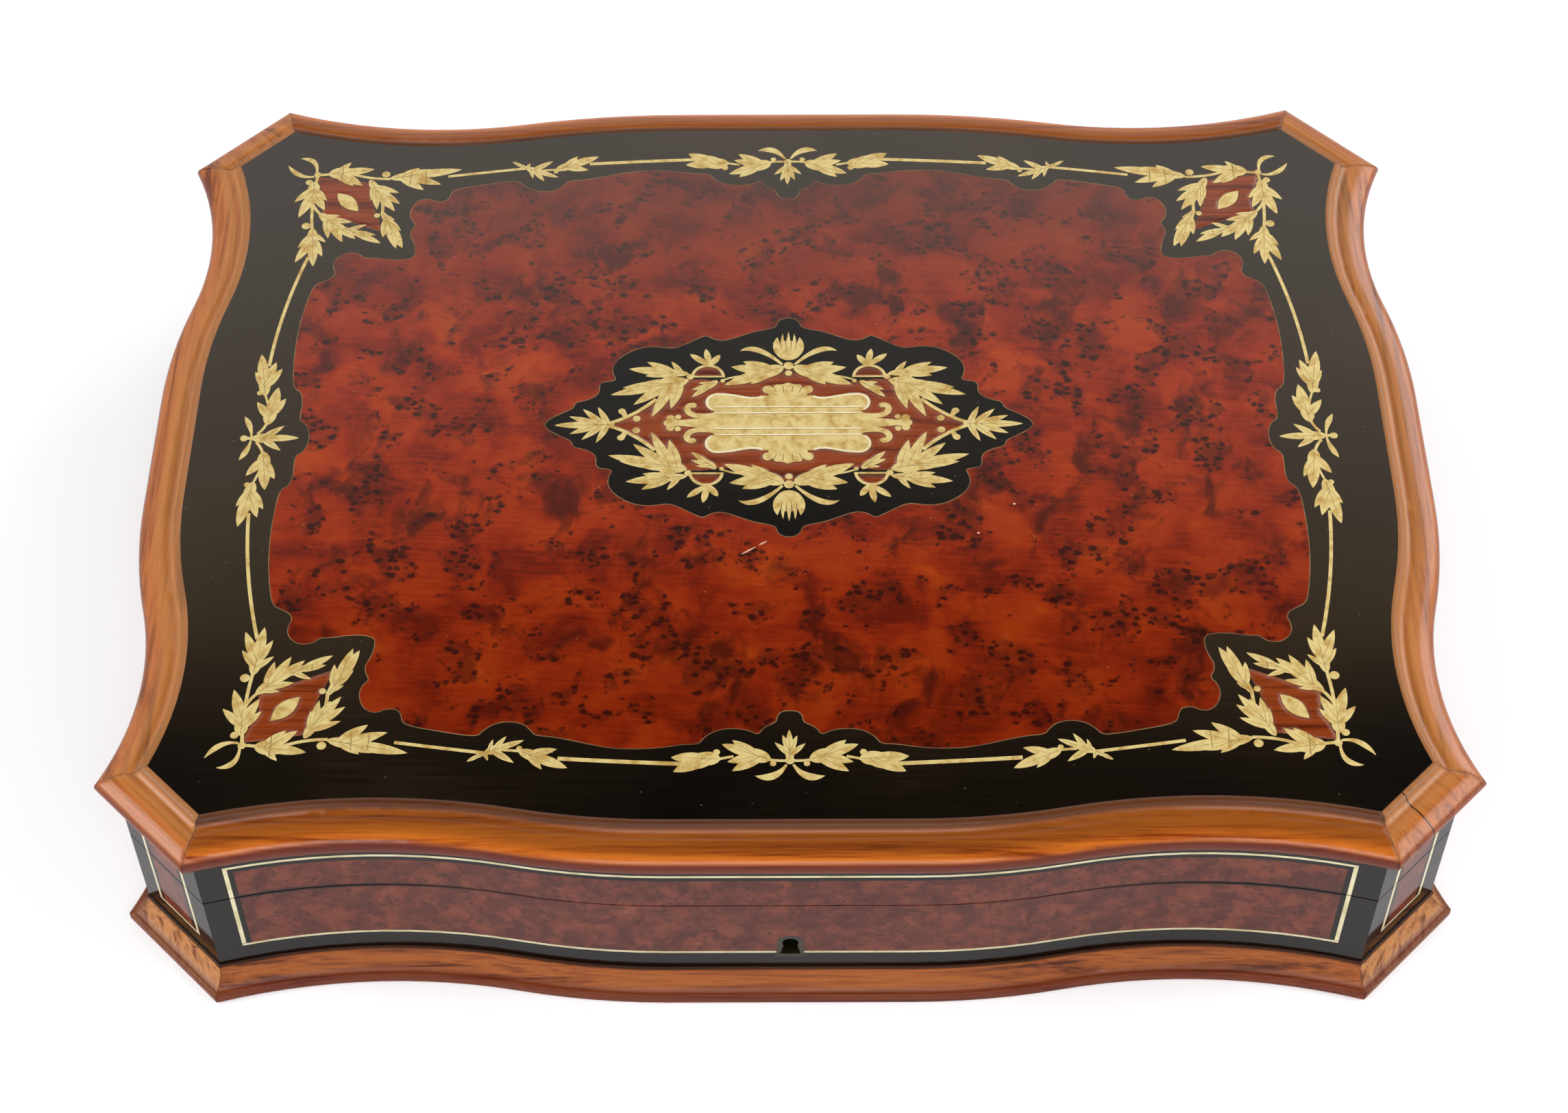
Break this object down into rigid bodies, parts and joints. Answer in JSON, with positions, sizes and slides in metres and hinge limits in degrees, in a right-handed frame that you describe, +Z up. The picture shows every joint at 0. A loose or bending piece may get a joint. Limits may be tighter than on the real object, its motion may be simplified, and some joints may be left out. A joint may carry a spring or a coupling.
{
  "type": "games box",
  "caption": "Low hinged box with waved sides, canted corners and marquetry of burr wood, ebony and brass, fitted inside for cards and counters.",
  "frame": {"origin": "middle of the underside, on the surface that the box stands on", "axes": "+X to the right along the length, +Y to the back where the hinges are, +Z up"},
  "size_m": [0.3324, 0.2561, 0.064],
  "materials": {
    "ebony": "polished",
    "burr": "polished",
    "red_wood": "polished",
    "brass_inlay": "engraved and polished",
    "moulding_wood": "french polished",
    "carcass_wood": "planed",
    "hinge_brass": "worn",
    "lock_brass": "worn",
    "lock_iron": "filed",
    "screws": "filed",
    "lining_paper": "watered paper",
    "partition_wood": "polished",
    "counter_wood": "polished"
  },
  "bodies": {
    "carcass": {"back_wall": "carcass_wood", "base_board": "carcass_wood", "base_moulding_back": "moulding_wood", "base_moulding_corners": "moulding_wood", "base_moulding_front": "moulding_wood", "base_moulding_left": "moulding_wood", "base_moulding_right": "moulding_wood", "carcass_brass_stringing": "brass_inlay", "carcass_burr_panels": "burr", "carcass_ebony_bands": "ebony", "corner_posts": "carcass_wood", "counter_lid_back_left": "counter_wood", "counter_lid_back_right": "counter_wood", "counter_lid_front_left": "counter_wood", "counter_lid_front_right": "counter_wood", "counter_tray_back_left": "counter_wood", "counter_tray_back_right": "counter_wood", "counter_tray_front_left": "counter_wood", "counter_tray_front_right": "counter_wood", "floor_lining": "lining_paper", "front_wall": "carcass_wood", "hinge_lower_leaf_left": "hinge_brass", "hinge_lower_leaf_right": "hinge_brass", "hinge_lower_screws": "screws", "hinge_pins": "hinge_brass", "keyhole_liner": "lock_brass", "left_wall": "carcass_wood", "lock_case": "lock_brass", "lock_key_pin": "lock_iron", "lock_screws": "screws", "long_partitions": "partition_wood", "right_wall": "carcass_wood", "short_partitions": "partition_wood"},
    "lid": {"border_brass": "brass_inlay", "cartouche_brass": "brass_inlay", "corner_brass": "brass_inlay", "hinge_upper_leaf_left": "hinge_brass", "hinge_upper_leaf_right": "hinge_brass", "lid_board": "carcass_wood", "lid_burr_field": "burr", "lid_corner_blocks": "carcass_wood", "lid_ebony_ground": "ebony", "lid_lining": "lining_paper", "lid_moulding_back": "moulding_wood", "lid_moulding_corners": "moulding_wood", "lid_moulding_front": "moulding_wood", "lid_moulding_left": "moulding_wood", "lid_moulding_right": "moulding_wood", "lid_rail_back": "carcass_wood", "lid_rail_front": "carcass_wood", "lid_rail_left": "carcass_wood", "lid_rail_right": "carcass_wood", "lid_red_grounds": "red_wood", "lid_screws": "screws", "lid_side_brass_stringing": "brass_inlay", "lid_side_burr_panels": "burr", "lid_side_ebony_bands": "ebony", "strike_plate": "lock_brass"},
    "lock_bolt": {"lock_bolt": "lock_iron"}
  },
  "joints": [
    {"name": "lid_hinge", "type": "hinge", "parent": "carcass", "child": "lid", "pos_m": [0, 0.12333, 0.0374], "axis": [-1, 0, 0], "range_deg": [0, 100]},
    {"name": "lock_bolt_slide", "type": "slide", "parent": "carcass", "child": "lock_bolt", "axis": [1, 0, 0], "range_m": [0, 0.005]}
  ]
}
